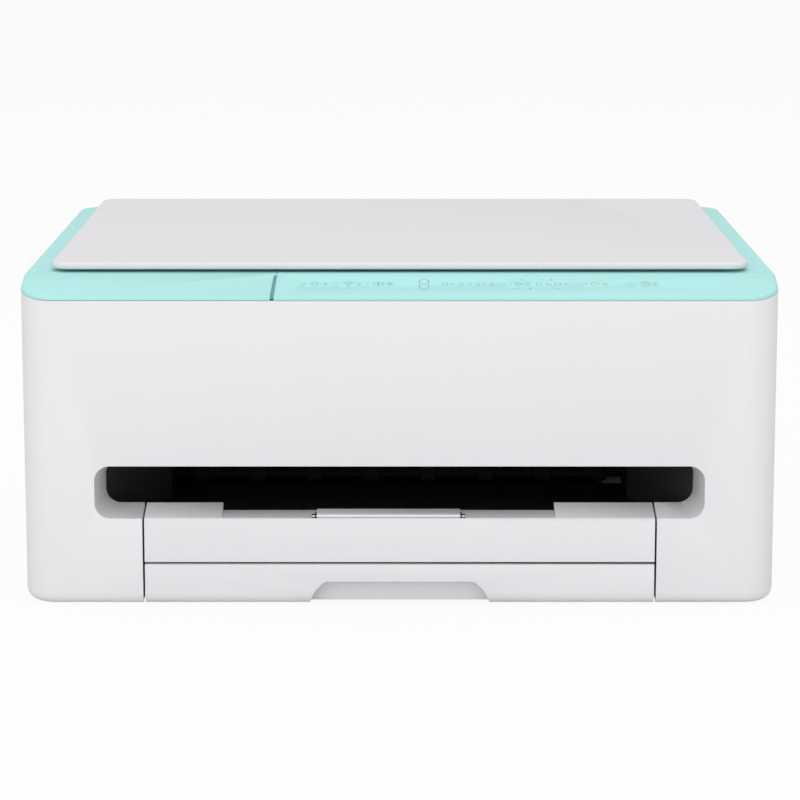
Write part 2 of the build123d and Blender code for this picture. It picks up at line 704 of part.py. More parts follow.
def usb_port():
    body = box(usb_x - usb_half, usb_x + usb_half, back_y - 17, back_y,
               socket_z - usb_half, socket_z + usb_half)
    body -= box(usb_x - 5.5, usb_x + 5.5, back_y - 11, back_y + 1, socket_z - 5, socket_z + 5)
    return body + box(usb_x - 3, usb_x + 3, back_y - 12, back_y - 3, socket_z - 1.5, socket_z + 1.5)


def ink_absorber():
    return box(bay_half_width + 5, half_width - 20, frame_back_y + 4, back_y - 15.5,
               floor_top, floor_top + 18)


def case_screws():
    screws = []
    for x, z in screw_places:
        head = rod_y(screw_head, x, back_y - screw_sink, back_y - 0.3, z)
        head -= box(x - 2, x + 2, back_y - 0.9, back_y, z - 0.4, z + 0.4)
        screws.append(head + rod_y(screw_shank, x, back_y - screw_length, back_y - 1, z))
    return Compound(children=screws)


# Scanner unit
panel_overlap = 6.0
key_width, key_height, key_gap, key_proud = 12.0, 7.0, 0.05, 0.05
key_corner = 2.0
key_place = 0.53
posts_x = (-54, 24, 150)
key_x = {"key_power": -41.6, "key_network": -25.1, "key_copies": -9.5,
         "key_black_start": 58.3, "key_colour_start": 96.0, "key_stop": 120.7}
board_drop = 4.4
bar_left = platen_mid_x - platen_width / 2 + 8.0
bar_width = 16.0
bar_half_length = platen_length / 2 - 1.0
rail_height = 3.0
hinge_x = 110.0
hinge_half = 8.0
hinge_reach = 3.6
cover_axis_y = back_y - cover_rear_setback - 1.7
cover_axis_z = cover_bottom + cover_thickness / 2
tub_floor = seam_side_z - tub_depth
glass_top = rim_top - skin


def mint_shell():
    """Rim and operation panel in one skin, before it is parted."""
    block = outline(0, 140, rim_top + 5) & below_panel(0)
    rim = [e for e in block.edges() if e.bounding_box().min.Z > 145]
    rim = [e for e in rim if not (e.length > width - 60 and abs(e.center().Y - front_y - panel_depth) < 1)]
    block = fillet(rim, 1.4)
    inner = outline(wall, 130, rim_top + 5) & below_panel(skin)
    shell = (block - inner) & above_seam(seam_gap / 2)
    for side in (-1, 1):
        low, high = sorted((side * (lift_x - 10.5), side * (lift_x + 11.5)))
        shell -= rod_x(lift_barrel_radius + 0.5, low, high, lift_y, lift_z)
    return shell


def panel_region(grow):
    """Plan area of the operation panel, to the right of the slanted groove."""
    rear = front_y + panel_depth + panel_overlap + grow
    face = make_face(Polyline((groove_rear_x + groove_width / 2 - grow, rear),
                              (groove_front_x + groove_width / 2 - grow, front_y - 1),
                              (half_width + 1, front_y - 1), (half_width + 1, rear), close=True))
    return extrude(Pos(0, 0, 140) * face, 40, dir=(0, 0, 1))


def on_slope(x, shape):
    """Set a shape on the panel slope, its local Z along the slope's normal."""
    y = front_y + key_place * panel_depth
    z = rim_top - slope_rise * (1 - key_place)
    return Pos(x, y, z) * Rot(slope_angle, 0, 0) * shape


def control_panel(shell):
    panel = shell & panel_region(0)
    for x in key_x.values():
        hole = Box(key_width + 2 * key_gap, key_height + 2 * key_gap, 12)
        hole = fillet(hole.edges().filter_by(Axis.Z), key_corner + key_gap)
        panel -= on_slope(x, hole)
    for x in posts_x:
        post = board_drop - skin + 0.6
        panel += on_slope(x, Pos(0, 0, post / 2 - board_drop) * Cylinder(1.5, post))
    return panel


def key(x):
    tall = skin + 0.6 + key_proud
    cap = Pos(0, 0, key_proud - tall / 2) * Box(key_width, key_height, tall)
    cap = fillet(cap.edges().filter_by(Axis.Z), key_corner)
    flange = Pos(0, 0, -skin - 0.5) * Box(key_width + 2, key_height + 2, 0.6)
    return on_slope(x, cap + flange)


def control_board():
    board = Pos(0, 0, -board_drop - 0.8) * Box(224, 13, 1.6)
    board += Pos(-40, 0, -board_drop - 2.6) * Box(14, 8, 2.2)
    return on_slope(50, board)


def scanner_frame(shell):
    frame = shell - panel_region(0.25)
    gap = extrude(Pos(0, 0, 140) * make_face(Polyline(
        (groove_rear_x - groove_width / 2, front_y + panel_depth - 1),
        (groove_front_x - groove_width / 2, front_y - 1), (groove_front_x + 2, front_y - 1),
        (groove_rear_x + 2, front_y + panel_depth - 1), close=True)), 40, dir=(0, 0, 1))
    frame -= gap
    window_x = platen_width / 2 - platen_ledge
    window_y = platen_length / 2 - platen_ledge
    frame -= box(platen_mid_x - window_x, platen_mid_x + window_x, platen_mid_y - window_y,
                 platen_mid_y + window_y, 140, rim_top + 1)
    return frame


def platen_glass():
    return box(platen_mid_x - platen_width / 2, platen_mid_x + platen_width / 2,
               platen_mid_y - platen_length / 2, platen_mid_y + platen_length / 2,
               glass_top - glass_thickness, glass_top)


def scanner_base():
    inset = wall + tub_clearance
    tub = outline(inset, tub_floor, rim_top) & below_panel(skin)
    tub -= outline(inset + plate, tub_floor + plate, rim_top + 1)
    for side in (-1, 1):
        low, high = sorted((side * (lift_x + 0.3), side * (lift_x + 10.7)))
        tub += rod_x(lift_barrel_radius, low, high, lift_y, lift_z)
        tub += box(low, high, lift_y - 4, lift_y, lift_z - 2.2, lift_z + 1.8)
        low, high = sorted((side * (lift_x - 10.5), side * (lift_x + 0.3)))
        tub -= rod_x(lift_barrel_radius + 0.5, low, high, lift_y, lift_z)
        low, high = sorted((side * (lift_x - 10.2), side * (lift_x + 1)))
        tub += rod_x(lift_pin_radius, low, high, lift_y, lift_z)
    return tub


def scan_rail():
    floor = tub_floor + plate
    rail = box(18 - half_width, half_width - 18, platen_mid_y - 6, platen_mid_y + 6,
               floor, floor + rail_height)
    track = box(36 - half_width, half_width - 36, platen_mid_y - 2, platen_mid_y + 2, floor + 1.5,
                floor + rail_height + 1)
    return rail - track


def sensor_bar():
    floor = tub_floor + plate + rail_height + slide_gap
    top = glass_top - glass_thickness - slide_gap
    low, high = platen_mid_y - bar_half_length, platen_mid_y + bar_half_length
    bar = box(bar_left, bar_left + bar_width, low, high, floor, top)
    return bar - box(bar_left + 5, bar_left + 11, low + 4, high - 4, top - 2, top + 1)


def document_cover():
    cover_half = half_width - cover_inset
    y0 = front_y + cover_front_setback
    y1 = back_y - cover_rear_setback
    plan = RectangleRounded(2 * cover_half, y1 - y0, cover_radius)
    cover = Pos(0, (y0 + y1) / 2, cover_bottom) * extrude(plan, cover_thickness)
    cover = fillet(cover.edges().group_by(Axis.Z)[-1], 1.5)
    low_rear = [e for e in cover.edges().group_by(Axis.Z)[0] if e.center().Y > y1 - 0.1]
    cover = fillet(low_rear, 1.6)
    for side in (-1, 1):
        low, high = sorted((side * (hinge_x - hinge_half), side * (hinge_x + hinge_half)))
        cover -= box(low, high, cover_axis_y - hinge_reach - 0.8, back_y, cover_bottom - 1, cover_top + 1)
        for x in (low, high):
            cover += rod_x(cover_pin_radius, x - 3, x + 3, cover_axis_y, cover_axis_z)
    return cover


def cover_hinges():
    blocks = []
    for side in (-1, 1):
        low = side * hinge_x - hinge_half + 0.4
        high = side * hinge_x + hinge_half - 0.4
        block = box(low, high, cover_axis_y - hinge_reach, cover_axis_y + hinge_reach,
                    rim_top, cover_top - 0.3)
        for x0, x1 in ((low - 1, low + 3.2), (high - 3.2, high + 1)):
            block -= rod_x(cover_pin_radius + running_fit, x0, x1, cover_axis_y, cover_axis_z)
        blocks.append(block)
    return Compound(children=blocks)


def cover_pad():
    half_x = platen_width / 2 - platen_ledge - 3
    half_y = platen_length / 2 - platen_ledge - 3
    return box(platen_mid_x - half_x, platen_mid_x + half_x, platen_mid_y - half_y, platen_mid_y + half_y,
               glass_top + pad_clearance, cover_bottom)


os.makedirs("parts", exist_ok=True)
write("main_case", main_case())
write("bottom_case", bottom_case())
write("rubber_feet", rubber_feet())
write("case_screws", case_screws())
write("rear_cover", rear_cover())
write("ac_inlet", ac_inlet())
write("usb_port", usb_port())
write("power_supply", power_supply())
write("main_board", main_board())
write("ink_absorber", ink_absorber())
write("output_guide", output_guide())
write("output_tray", output_tray())
write("output_tray_front", output_tray_front())
write("output_support", output_support())
write("cassette_front", cassette_front())
write("cassette_tray", cassette_tray())
write("width_guide_left", width_guide(-1))
write("width_guide_right", width_guide(1))
write("guide_pinion", guide_pinion())
write("length_guide", length_guide())
write("engine_frame", engine_frame())
write("carriage_rail", carriage_rail())
write("platen", platen())
write("purge_unit", purge_unit())
write("feed_roller", feed_roller())
write("feed_gear", gear(feed_teeth, feed_phase, feed_y, feed_z, feed_shaft))
write("idler_gear", gear(idler_teeth, idler_phase, idler_y, idler_z, 3.0 + running_fit))
write("exit_roller", exit_roller())
write("exit_gear", gear(exit_teeth, exit_phase, exit_y, exit_z, exit_shaft))
write("pinch_rollers", pinch_rollers())
write("feed_motor", feed_motor())
write("feed_pinion", feed_pinion())
write("carriage_motor", carriage_motor())
write("motor_pulley", pulley(pulley_left))
write("idler_pulley", pulley(pulley_right))
write("carriage_belt", belt())
write("encoder_strip", encoder_strip())
write("carriage_body", carriage_body())
for index, ink in enumerate(("black", "colour")):
    write(f"{ink}_cartridge", cartridge(index))
    write(f"{ink}_lock_lever", lock_lever(index))
write("pickup_arm", pickup_arm())
write("pickup_roller", pickup_roller())
mint = mint_shell()
write("scanner_frame", scanner_frame(mint))
write("control_panel", control_panel(mint))
write("control_board", control_board())
for name, x in key_x.items():
    write(name, key(x))
write("platen_glass", platen_glass())
write("scanner_base", scanner_base())
write("scan_rail", scan_rail())
write("sensor_bar", sensor_bar())
write("document_cover", document_cover())
write("cover_hinges", cover_hinges())
write("cover_pad", cover_pad())
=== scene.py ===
import bmesh
import bpy
import math
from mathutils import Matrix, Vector


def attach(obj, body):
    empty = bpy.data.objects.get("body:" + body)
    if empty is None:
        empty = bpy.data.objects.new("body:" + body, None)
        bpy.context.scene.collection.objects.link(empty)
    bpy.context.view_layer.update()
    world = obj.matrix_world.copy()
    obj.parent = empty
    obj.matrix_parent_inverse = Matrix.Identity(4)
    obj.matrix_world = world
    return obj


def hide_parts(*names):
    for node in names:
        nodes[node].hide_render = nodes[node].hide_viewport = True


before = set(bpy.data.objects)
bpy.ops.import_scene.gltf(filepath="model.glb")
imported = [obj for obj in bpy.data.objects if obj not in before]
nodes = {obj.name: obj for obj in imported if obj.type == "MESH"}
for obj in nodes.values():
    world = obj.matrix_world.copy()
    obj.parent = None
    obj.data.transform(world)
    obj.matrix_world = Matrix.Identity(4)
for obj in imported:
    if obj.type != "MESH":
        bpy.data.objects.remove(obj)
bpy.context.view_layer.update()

# Camera. A long lens stands in front of the machine and looks down on it by ten degrees,
# so that the cover shows as a shallow wedge over the operation panel.
camera_place = (0.0002, -1.6107, 0.3681)
camera_pitch = math.radians(10.32)
focal_length = 135.8
far_clip = 50.0
lens = bpy.data.cameras.new("camera_lens")
lens.sensor_width = 36.0
lens.lens = focal_length
lens.clip_end = far_clip
camera = bpy.data.objects.new("camera", lens)
camera.location = camera_place
camera.rotation_euler = (math.pi / 2 - camera_pitch, 0, 0)
bpy.context.scene.collection.objects.link(camera)
bpy.context.scene.camera = camera
bpy.context.scene.view_settings.view_transform = "Standard"

# Studio. A white room of even light, with one large soft lamp high in front and a weaker
# one overhead, and a pale floor that keeps a faint shadow under the machine.
room_light = 0.62
floor_glow = 0.91
floor_colour = (0.86, 0.86, 0.87)
world = bpy.data.worlds.new("studio_room")
bpy.context.scene.world = world
world.use_nodes = True
tree = world.node_tree
backdrop = tree.nodes["Background"]
path = tree.nodes.new("ShaderNodeLightPath")
seen = tree.nodes.new("ShaderNodeMath")
seen.operation = "MAXIMUM"
tree.links.new(path.outputs["Is Camera Ray"], seen.inputs[0])
tree.links.new(path.outputs["Is Transmission Ray"], seen.inputs[1])
level = tree.nodes.new("ShaderNodeMapRange")
level.inputs["To Min"].default_value = room_light
level.inputs["To Max"].default_value = 1.0
tree.links.new(seen.outputs[0], level.inputs["Value"])
tree.links.new(level.outputs["Result"], backdrop.inputs["Strength"])
backdrop.inputs["Color"].default_value = (1, 1, 1, 1)


def soft_lamp(name, place, aim, size, power):
    """Square lamp turned towards a point."""
    data = bpy.data.lights.new(name, "AREA")
    data.size = size
    data.energy = power
    lamp = bpy.data.objects.new(name, data)
    lamp.location = place
    lamp.rotation_euler = (Vector(aim) - Vector(place)).to_track_quat("-Z", "Y").to_euler()
    bpy.context.scene.collection.objects.link(lamp)


soft_lamp("front_lamp", place=(-0.35, -2.4, 1.5), aim=(0, 0, 0.08), size=2.2, power=27.0)
soft_lamp("top_lamp", place=(0.0, 0.3, 2.2), aim=(0, 0, 0.1), size=2.0, power=15.5)

floor_mesh = bpy.data.meshes.new("floor")
floor_mesh.from_pydata([(-8, -8, 0), (8, -8, 0), (8, 12, 0), (-8, 12, 0)], [], [(0, 1, 2, 3)])
floor = bpy.data.objects.new("floor", floor_mesh)
bpy.context.scene.collection.objects.link(floor)
floor_paint = bpy.data.materials.new("pale_floor")
floor_paint.use_nodes = True
tree = floor_paint.node_tree
tree.nodes["Principled BSDF"].inputs["Base Color"].default_value = (*floor_colour, 1)
tree.nodes["Principled BSDF"].inputs["Roughness"].default_value = 0.8
glow = tree.nodes.new("ShaderNodeEmission")
path = tree.nodes.new("ShaderNodeLightPath")
share = tree.nodes.new("ShaderNodeMath")
share.operation = "MULTIPLY"
share.inputs[1].default_value = floor_glow
blend = tree.nodes.new("ShaderNodeMixShader")
tree.links.new(path.outputs["Is Camera Ray"], share.inputs[0])
tree.links.new(share.outputs[0], blend.inputs["Fac"])
tree.links.new(tree.nodes["Principled BSDF"].outputs[0], blend.inputs[1])
tree.links.new(glow.outputs[0], blend.inputs[2])
tree.links.new(blend.outputs[0], tree.nodes["Material Output"].inputs["Surface"])
floor_mesh.materials.append(floor_paint)

# Outer case. Injection-moulded shell in cool white, with the fine spark-eroded grain that
# such housings have, open at the front for the trays and at the rear for the cover.
mm, per_metre = 0.001, 1000
white_case = (0.790, 0.786, 0.806)


def surface_group(name, inputs):
    """Empty shader group with these inputs, which gives a tint, a roughness and a normal."""
    group = bpy.data.node_groups.new(name, "ShaderNodeTree")
    for label, kind, value in inputs:
        socket = group.interface.new_socket(label, in_out="INPUT", socket_type="NodeSocket" + kind)
        if value is not None:
            socket.default_value = value
    for label, kind in (("Tint", "Color"), ("Sheen Break", "Float"), ("Relief", "Vector")):
        group.interface.new_socket(label, in_out="OUTPUT", socket_type="NodeSocket" + kind)
    return group


def surfaced(name, group, settings):
    """Material whose colour, roughness and normal come from a surface group; also its shader."""
    paint = bpy.data.materials.new(name)
    paint.use_nodes = True
    tree = paint.node_tree
    shader = tree.nodes["Principled BSDF"]
    surface = tree.nodes.new("ShaderNodeGroup")
    surface.node_tree = group
    for label, value in settings.items():
        surface.inputs[label].default_value = value
    tree.links.new(surface.outputs["Tint"], shader.inputs["Base Color"])
    tree.links.new(surface.outputs["Sheen Break"], shader.inputs["Roughness"])
    tree.links.new(surface.outputs["Relief"], shader.inputs["Normal"])
    return paint, shader


def grain_group():
    """Fine moulded grain: a bump, a spread of roughness and a slight mottling of the colour."""
    group = surface_group("moulded_grain", (
        ("Colour", "Color", None), ("Grain Size", "Float", 2200.0), ("Depth", "Float", 0.25),
        ("Roughness", "Float", 0.5), ("Mottle", "Float", 0.03)))
    add = group.nodes.new
    link = group.links.new
    given, result = add("NodeGroupInput"), add("NodeGroupOutput")
    place = add("ShaderNodeTexCoord")
    fine = add("ShaderNodeTexNoise")
    fine.inputs["Detail"].default_value = 2.0
    broad = add("ShaderNodeTexNoise")
    broad.inputs["Scale"].default_value = 9.0
    broad.inputs["Detail"].default_value = 3.0
    link(place.outputs["Object"], fine.inputs["Vector"])
    link(place.outputs["Object"], broad.inputs["Vector"])
    link(given.outputs["Grain Size"], fine.inputs["Scale"])
    bump = add("ShaderNodeBump")
    bump.inputs["Distance"].default_value = 0.00003
    link(given.outputs["Depth"], bump.inputs["Strength"])
    link(fine.outputs["Fac"], bump.inputs["Height"])
    link(bump.outputs["Normal"], result.inputs["Relief"])
    spread = add("ShaderNodeMapRange")
    spread.inputs["To Min"].default_value = -0.05
    spread.inputs["To Max"].default_value = 0.05
    link(fine.outputs["Fac"], spread.inputs["Value"])
    total = add("ShaderNodeMath")
    link(spread.outputs["Result"], total.inputs[0])
    link(given.outputs["Roughness"], total.inputs[1])
    link(total.outputs[0], result.inputs["Sheen Break"])
    shade = add("ShaderNodeMath")
    shade.operation = "SUBTRACT"
    shade.inputs[1].default_value = 0.5
    link(broad.outputs["Fac"], shade.inputs[0])
    weight = add("ShaderNodeMath")
    weight.operation = "MULTIPLY_ADD"
    weight.inputs[2].default_value = 1.0
    link(shade.outputs[0], weight.inputs[0])
    link(given.outputs["Mottle"], weight.inputs[1])
    scale = add("ShaderNodeVectorMath")
    scale.operation = "SCALE"
    link(given.outputs["Colour"], scale.inputs[0])
    link(weight.outputs[0], scale.inputs["Scale"])
    link(scale.outputs[0], result.inputs["Tint"])
    return group


moulded_grain = grain_group()


def moulded_plastic(name, colour, roughness=0.5, size=2200.0, depth=0.25, mottle=0.03):
    """Plastic straight from the tool, with its grain."""
    paint, shader = surfaced(name, moulded_grain, {
        "Colour": (*colour, 1), "Grain Size": size, "Depth": depth, "Roughness": roughness, "Mottle": mottle})
    shader.inputs["Specular IOR Level"].default_value = 0.35
    return paint


merge_distance = 0.00001
flat_angle = math.radians(0.4)
sharp_angle = math.radians(28.0)


def softened(node, body, paint, edge=0.0003, zones=()):
    """A moulding with its sharp edges broken, in place of the plain solid of that name.

    Each zone is a paint and a test of a face's middle and normal, in millimetres."""
    mesh = nodes[node].data.copy()
    mesh.materials.clear()
    shape = bmesh.new()
    shape.from_mesh(mesh)
    bmesh.ops.remove_doubles(shape, verts=shape.verts, dist=merge_distance)
    bmesh.ops.dissolve_limit(shape, angle_limit=flat_angle, verts=shape.verts, edges=shape.edges)
    for face in shape.faces:
        face.smooth = True
        for index, (_, inside) in enumerate(zones):
            if inside(face.calc_center_median() * per_metre, face.normal):
                face.material_index = index + 1
    shape.to_mesh(mesh)
    shape.free()
    for coat in (paint, *(zone[0] for zone in zones)):
        mesh.materials.append(coat)
    piece = bpy.data.objects.new(node + "_moulding", mesh)
    bpy.context.scene.collection.objects.link(piece)
    bevel = piece.modifiers.new("broken_edges", "BEVEL")
    bevel.width = edge
    bevel.segments = 2
    bevel.limit_method = "ANGLE"
    bevel.angle_limit = sharp_angle
    bevel.harden_normals = True
    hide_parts(node)
    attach(piece, body)


def finish(names, paint):
    """The same finish on several parts that keep their own solids."""
    for name in names:
        part = nodes[name]
        part.data.materials.clear()
        part.data.materials.append(paint)


case_plastic = moulded_plastic("white_case_plastic", white_case, 0.48)
softened("main_case", "base", case_plastic)
softened("rear_cover", "rear_cover", case_plastic)
finish(["bottom_case"], case_plastic)

# Feet. Four discs of black rubber, ground matt and slightly uneven. They are stuck under
# the bottom case near its corners.
foot_rubber = moulded_plastic("foot_rubber", (0.035, 0.035, 0.036), 0.75, 900.0, 0.5, 0.1)
finish(["rubber_feet"], foot_rubber)

# Trays. The cassette and the output tray close the front with white panels in the case's
# own plastic; behind them the trays are dark, and the guides in them are mid grey.
# Matt black plastic for the trays and the slot shroud; the same black is also painted on the paper stop's
# ears and bushes as the shade of the gaps at the flap's ends.
black_plastic_and_gap_shade = moulded_plastic("matt_black_plastic", (0.012, 0.012, 0.013), 0.62, 1500.0, 0.4, 0.1)


def on_ear_gap_shade(middle, normal):
    """Small ears holding the paper stop's hinge pins, and their pocket, painted black as shade of the gaps by
    the flap.
    """
    across = abs(normal.y) > 0.9 and middle.z > 42.5
    return -45.0 < middle.x < 34.0 and middle.y > -156.4 and (middle.z > 44.05 or across)


softened("output_tray_front", "output_tray", case_plastic, zones=[(black_plastic_and_gap_shade, on_ear_gap_shade)])
softened("output_support", "output_support", case_plastic, 0.00025)
softened("cassette_front", "cassette_extension", case_plastic)
tray_plastic = moulded_plastic("tray_plastic", (0.10, 0.10, 0.11), 0.55, 1500.0, 0.4, 0.08)
guide_plastic = moulded_plastic("guide_plastic", (0.33, 0.34, 0.36), 0.45, 2000.0, 0.25, 0.04)
softened("output_tray", "output_tray", black_plastic_and_gap_shade)
softened("cassette_tray", "cassette", tray_plastic)
softened("width_guide_left", "width_guide_left", guide_plastic)
softened("width_guide_right", "width_guide_right", guide_plastic)
softened("length_guide", "length_guide", guide_plastic)

# Slot shroud. A matt black moulding that fills the ends of the output slot and keeps light
# off the rollers.
softened("output_guide", "base", black_plastic_and_gap_shade)

# Bushes of the paper stop. A dark plastic sleeve sits on the hinge pin at each end of the flap, between the
# flap and the ear that holds the pin; its black paints the shade of the gap there.
weld_distance = 0.000001


def solid_from(name, points, faces, paint, body):
    """Mesh piece from millimetre points, with its normals outwards."""
    mesh = bpy.data.meshes.new(name)
    mesh.from_pydata([Vector(point) * mm for point in points], [], faces)
    shape = bmesh.new()
    shape.from_mesh(mesh)
    bmesh.ops.remove_doubles(shape, verts=shape.verts, dist=weld_distance)
    bmesh.ops.recalc_face_normals(shape, faces=shape.faces)
    shape.to_mesh(mesh)
    shape.free()
    mesh.materials.append(paint)
    piece = bpy.data.objects.new(name, mesh)
    bpy.context.scene.collection.objects.link(piece)
    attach(piece, body)


def prism_faces(count):
    """Faces of a prism whose points are listed as one end's outline, then the other's."""
    around = [(step, (step + 1) % count, count + (step + 1) % count, count + step) for step in range(count)]
    return [*around, tuple(range(count)), tuple(range(count, 2 * count))]


bush_outline = [(-156.4, 41.6), (-156.4, 44.9), (-155.9, 45.7), (-151.4, 46.1), (-151.4, 41.6)]
for side, low, high in (("left", -41.68, -41.04), ("right", 30.04, 30.68)):
    bush_points = [(x, y, z) for x in (low, high) for y, z in bush_outline]
    bush_faces = prism_faces(len(bush_outline))
    solid_from("gap_shade_bush_" + side, bush_points, bush_faces, black_plastic_and_gap_shade, "output_tray")

# Scanner unit. Its rim, the operation panel and the keys are mint, moulded in the colour;
# the tub below them is light grey. The unit hangs on the case's rear knuckles.
mint_colour = (0.405, 0.772, 0.748)
mint_plastic = moulded_plastic("mint_plastic", mint_colour, 0.42, 2400.0, 0.2, 0.02)
softened("scanner_frame", "scanner", mint_plastic, 0.0004)
softened("control_panel", "scanner", mint_plastic, 0.00012)
for key_name in sorted(name for name in nodes if name.startswith("key_")):
    softened(key_name, key_name, mint_plastic, 0.00006)
tub_plastic = moulded_plastic("tub_plastic", (0.62, 0.62, 0.63), 0.5)
finish(["scanner_base"], tub_plastic)

# Document cover. A thin white lid, satin on top, hinged at its rear edge on two posts, with
# a white sheet on foam under it that holds the original flat.
cover_plastic = moulded_plastic("cover_plastic", (0.752, 0.745, 0.765), 0.45, 2600.0, 0.18, 0.015)
softened("document_cover", "document_cover", cover_plastic, 0.0004)
softened("cover_hinges", "scanner", cover_plastic, 0.0004)
pad_sheet = moulded_plastic("pad_sheet", (0.86, 0.86, 0.84), 0.35, 700.0, 0.3, 0.03)
pad_foam = moulded_plastic("pad_foam", (0.42, 0.43, 0.45), 0.95, 900.0, 1.0, 0.25)


def above_sheet(middle, normal):
    """Every side of the pad but the one that lies on the original."""
    return normal.z > -0.5


softened("cover_pad", "document_cover", pad_sheet, 0.0006, zones=[(pad_foam, above_sheet)])

# Groove of the panel. The operation panel is a separate moulding, and the slanted joint beside it is closed
# from below by a thin web stuck to the tub's rim, in a darker mint that paints the shade at the bottom of the
# groove.
front_face = -157.5
panel_run = 29.0
panel_rise = 7.6
slope_top = 162.0


def slope_height(y):
    """Height of the panel's surface at a depth."""
    return slope_top - panel_rise * (1 - (y - front_face) / panel_run)


def strip_faces(a, b):
    """The four long faces between two cross-sections whose four points start at a and at b."""
    return [(a, a + 2, b + 2, b), (a + 1, b + 1, b + 3, a + 3),
            (a, b, b + 1, a + 1), (a + 2, a + 3, b + 3, b + 2)]


groove_shade_paint = moulded_plastic("groove_shade_plastic", (0.150, 0.330, 0.335), 0.6, 2400.0, 0.2, 0.05)
web_half, web_thickness = 1.05, 0.5
web_line = [(front_face + 0.7, 3.0, -62.3), (front_face + 0.7, 0.9, -62.3), (-143.0, 0.8, -61.75),
            (-128.6, 0.9, -61.2), (-124.0, 0.9, -61.0)]
web_points = []
for y, drop, x_mid in web_line:
    surface = slope_height(min(y, front_face + panel_run))
    for side in (-1, 1):
        for thick in (0.0, web_thickness):
            web_points.append((x_mid + side * web_half, y, surface - drop - thick))
web_faces = []
for step in range(len(web_line) - 1):
    web_faces += strip_faces(4 * step, 4 * step + 4)
web_faces += [(0, 1, 3, 2), (16, 18, 19, 17)]
solid_from("groove_web", web_points, web_faces, groove_shade_paint, "scanner")

# Panel symbols. Thin strokes of grey-green ink, pad-printed on the keys and the panel, with a
# one-digit display and a row of small lamps between the keys; no letters.
symbol_ink = moulded_plastic("symbol_ink", (0.245, 0.500, 0.490), 0.5, 3000.0, 0.1, 0.1)
stroke_width = 0.50
ink_thickness = 0.05
symbol_stretch = (1.2, 1.65)
row_depth = 0.53 * panel_run
slope_pitch = math.atan2(panel_rise, panel_run)


def arc(cx, cy, radius, first=0.0, last=360.0, steps=20):
    """Points along part of a circle, angles in degrees."""
    angles = [math.radians(first + (last - first) * step / steps) for step in range(steps + 1)]
    return [(cx + radius * math.cos(angle), cy + radius * math.sin(angle)) for angle in angles]


def ring(points):
    """Closed line through the points."""
    return [*points, points[0]]


def sheet_mark(cx, cy, half=0.95, high=1.3):
    """Small sheet of paper with a folded corner."""
    return ring([(cx - half, cy - high), (cx + half, cy - high), (cx + half, cy + high - 0.7),
                 (cx + half - 0.7, cy + high), (cx - half, cy + high)])


def diamond(cx, cy, size):
    """Lozenge of the start keys."""
    return ring([(cx, cy - size), (cx + size, cy), (cx, cy + size), (cx - size, cy)])


def printed(name, strokes, x, lift, body, width=stroke_width):
    """Strokes laid on the panel's slope round x, as thin closed ribbons of ink."""
    points, faces = [], []
    run, rise = math.cos(slope_pitch), math.sin(slope_pitch)
    for stroke in strokes:
        closed = stroke[0] == stroke[-1]
        line = stroke[:-1] if closed else stroke
        path = [(u * symbol_stretch[0], v * symbol_stretch[1]) for u, v in line]
        count = len(path)
        start = len(points)
        for index, (u, v) in enumerate(path):
            before = path[index - 1] if closed or index else path[index]
            after = path[(index + 1) % count] if closed or index + 1 < count else path[index]
            turn = math.atan2(after[1] - before[1], after[0] - before[0]) + math.pi / 2
            for side in (-0.5, 0.5):
                a = x + u + side * width * math.cos(turn)
                b = row_depth / run + v + side * width * math.sin(turn)
                for level in (lift, lift - ink_thickness):
                    points.append((a, front_face + b * run - level * rise,
                                   slope_top - panel_rise + b * rise + level * run))
        spans = count if closed else count - 1
        for index in range(spans):
            a = start + 4 * index
            b = start + 4 * ((index + 1) % count)
            faces += [(a, b, b + 2, a + 2), (a + 1, a + 3, b + 3, b + 1),
                      (a, a + 1, b + 1, b), (a + 2, b + 2, b + 3, a + 3)]
        if not closed:
            last = start + 4 * (count - 1)
            faces += [(start, start + 2, start + 3, start + 1), (last, last + 1, last + 3, last + 2)]
    solid_from(name, points, faces, symbol_ink, body)


def dot(cx, cy, size=0.35):
    """Filled spot, drawn as a short thick ring."""
    return arc(cx, cy, size, 0, 360, 10)


def triangle(cx, base, top, half):
    """Closed triangle that points up."""
    return ring([(cx - half, base), (cx + half, base), (cx, top)])


def drop_mark(cx):
    """Drop of ink: a round foot under a point."""
    return ring([*arc(cx, -0.4, 0.85, 200, 340, 6), (cx, 1.4)])


def dash(first, last, v):
    """Level stroke."""
    return [(first, v), (last, v)]


def upright(u, low, high):
    """Standing stroke."""
    return [(u, low), (u, high)]


